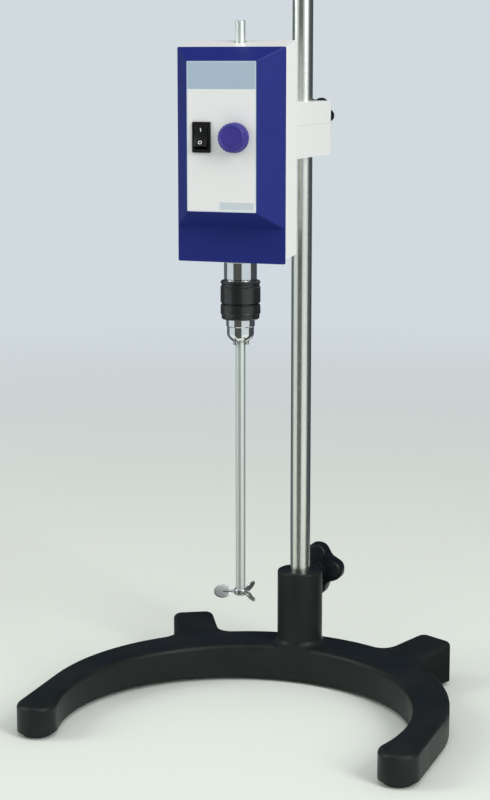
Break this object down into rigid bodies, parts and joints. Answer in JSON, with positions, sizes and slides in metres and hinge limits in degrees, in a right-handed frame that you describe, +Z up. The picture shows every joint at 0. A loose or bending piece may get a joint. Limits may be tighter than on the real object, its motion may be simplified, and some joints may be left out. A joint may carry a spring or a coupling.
{
  "type": "overhead laboratory stirrer on a stand",
  "caption": "Bench stirrer: motor head with switch and speed knob on a rod, keyless chuck, propeller shaft, horseshoe base and clamp knobs.",
  "frame": {"origin": "on the bench under the middle of the footprint; the rod's axis is 88 mm behind it", "axes": "+Z up along the rod, +Y to the back, -Y is the operating side with panel and leg ends"},
  "size_m": [0.35, 0.3, 0.772],
  "materials": {
    "black_cast": "black enamelled casting, satin",
    "rubber_pads": "matt black rubber",
    "steel_rod": "polished stainless steel",
    "black_grip": "matt black moulding",
    "zinc_screw": "bright zinc",
    "white_cover": "white enamel, satin",
    "blue_cover": "dark blue moulding, satin",
    "face_plate": "pale printed film with grey bands",
    "black_switch": "black moulding",
    "blue_knob": "violet-blue moulding",
    "chuck_chrome": "chromed steel",
    "chuck_black": "black knurled sleeve",
    "shaft_steel": "ground stainless steel",
    "chassis_metal": "machined aluminium",
    "drive_steel": "ground steel",
    "gear_brass": "machined brass",
    "board_green": "green laminate",
    "board_mixed": "dark component bodies",
    "motor_can": "grey enamelled steel"
  },
  "bodies": {
    "stand": {"base_casting": "black_cast", "base_feet": "rubber_pads"},
    "rod": {"stand_rod": "steel_rod"},
    "base_clamp": {"base_clamp_knob": "black_grip", "base_clamp_screw": "zinc_screw"},
    "head": {"mounting_arm": "white_cover", "arm_screws": "zinc_screw", "casing": "white_cover", "front_cover": "blue_cover", "front_panel": "face_plate", "rear_cover": "white_cover", "cover_screws": "zinc_screw", "cable_gland": "black_switch", "chassis_lower_plate": "chassis_metal", "chassis_upper_plate": "chassis_metal", "chassis_posts": "chassis_metal", "lower_bearing": "drive_steel", "upper_bearing": "drive_steel", "motor_body": "motor_can", "switch_body": "black_switch", "potentiometer": "chassis_metal", "circuit_board": "board_green", "board_parts": "board_mixed"},
    "head_clamp": {"head_clamp_knob": "black_grip", "head_clamp_screw": "zinc_screw"},
    "rocker": {"switch_rocker": "black_switch"},
    "speed_control": {"speed_knob": "blue_knob", "knob_shaft": "chassis_metal"},
    "motor_rotor": {"motor_shaft": "drive_steel", "motor_pinion": "gear_brass"},
    "spindle_set": {"spindle": "drive_steel", "drive_gear": "gear_brass", "chuck_body": "chuck_chrome", "chuck_holding_sleeve": "chuck_black"},
    "sleeve": {"chuck_sleeve": "chuck_black"},
    "jaw_1": {"jaw_1": "drive_steel"},
    "jaw_2": {"jaw_2": "drive_steel"},
    "jaw_3": {"jaw_3": "drive_steel"},
    "shaft": {"stirring_shaft": "shaft_steel", "propeller": "shaft_steel"}
  },
  "joints": [
    {"name": "rod_swivel", "type": "hinge", "parent": "stand", "child": "rod", "pos_m": [0, 0.088, 0.1], "axis": [0, 0, 1], "continuous": true},
    {"name": "base_clamp_turn", "type": "hinge", "parent": "stand", "child": "base_clamp", "pos_m": [0, 0.124, 0.0905], "axis": [0, 1, 0], "range_deg": [-360, 0]},
    {"name": "head_height", "type": "slide", "parent": "rod", "child": "head", "axis": [0, 0, 1], "range_m": [-0.055, 0.24]},
    {"name": "head_clamp_turn", "type": "hinge", "parent": "head", "child": "head_clamp", "pos_m": [0, 0.118, 0.5115], "axis": [0, 1, 0], "range_deg": [-360, 0]},
    {"name": "rocker_tilt", "type": "hinge", "parent": "head", "child": "rocker", "pos_m": [-0.0164, -0.1055, 0.5], "axis": [1, 0, 0], "range_deg": [0, 18]},
    {"name": "speed_turn", "type": "hinge", "parent": "head", "child": "speed_control", "pos_m": [0.0116, -0.1085, 0.5], "axis": [0, 1, 0], "range_deg": [0, 300]},
    {"name": "spindle_spin", "type": "hinge", "parent": "head", "child": "spindle_set", "pos_m": [0, -0.066, 0.4], "axis": [0, 0, 1], "continuous": true},
    {"name": "motor_spin", "type": "hinge", "parent": "head", "child": "motor_rotor", "pos_m": [0, -0.0299, 0.5], "axis": [0, 0, 1], "continuous": true},
    {"name": "sleeve_turn", "type": "hinge", "parent": "spindle_set", "child": "sleeve", "pos_m": [0, -0.066, 0.358], "axis": [0, 0, 1], "range_deg": [0, 1080]},
    {"name": "jaw_1_slide", "type": "slide", "parent": "spindle_set", "child": "jaw_1", "axis": [0.2419, 0, 0.9703], "range_m": [0, 0.0045]},
    {"name": "jaw_2_slide", "type": "slide", "parent": "spindle_set", "child": "jaw_2", "axis": [-0.121, 0.2095, 0.9703], "range_m": [0, 0.0045]},
    {"name": "jaw_3_slide", "type": "slide", "parent": "spindle_set", "child": "jaw_3", "axis": [-0.121, -0.2095, 0.9703], "range_m": [0, 0.0045]},
    {"name": "shaft_height", "type": "slide", "parent": "spindle_set", "child": "shaft", "axis": [0, 0, 1], "range_m": [-0.02, 0.2]}
  ],
  "couplings": [
    {"joint": "motor_spin", "follows": "spindle_spin", "ratio": -3},
    {"joint": "jaw_1_slide", "follows": "sleeve_turn", "m_per_rad": 0.00023871},
    {"joint": "jaw_2_slide", "follows": "sleeve_turn", "m_per_rad": 0.00023871},
    {"joint": "jaw_3_slide", "follows": "sleeve_turn", "m_per_rad": 0.00023871}
  ]
}
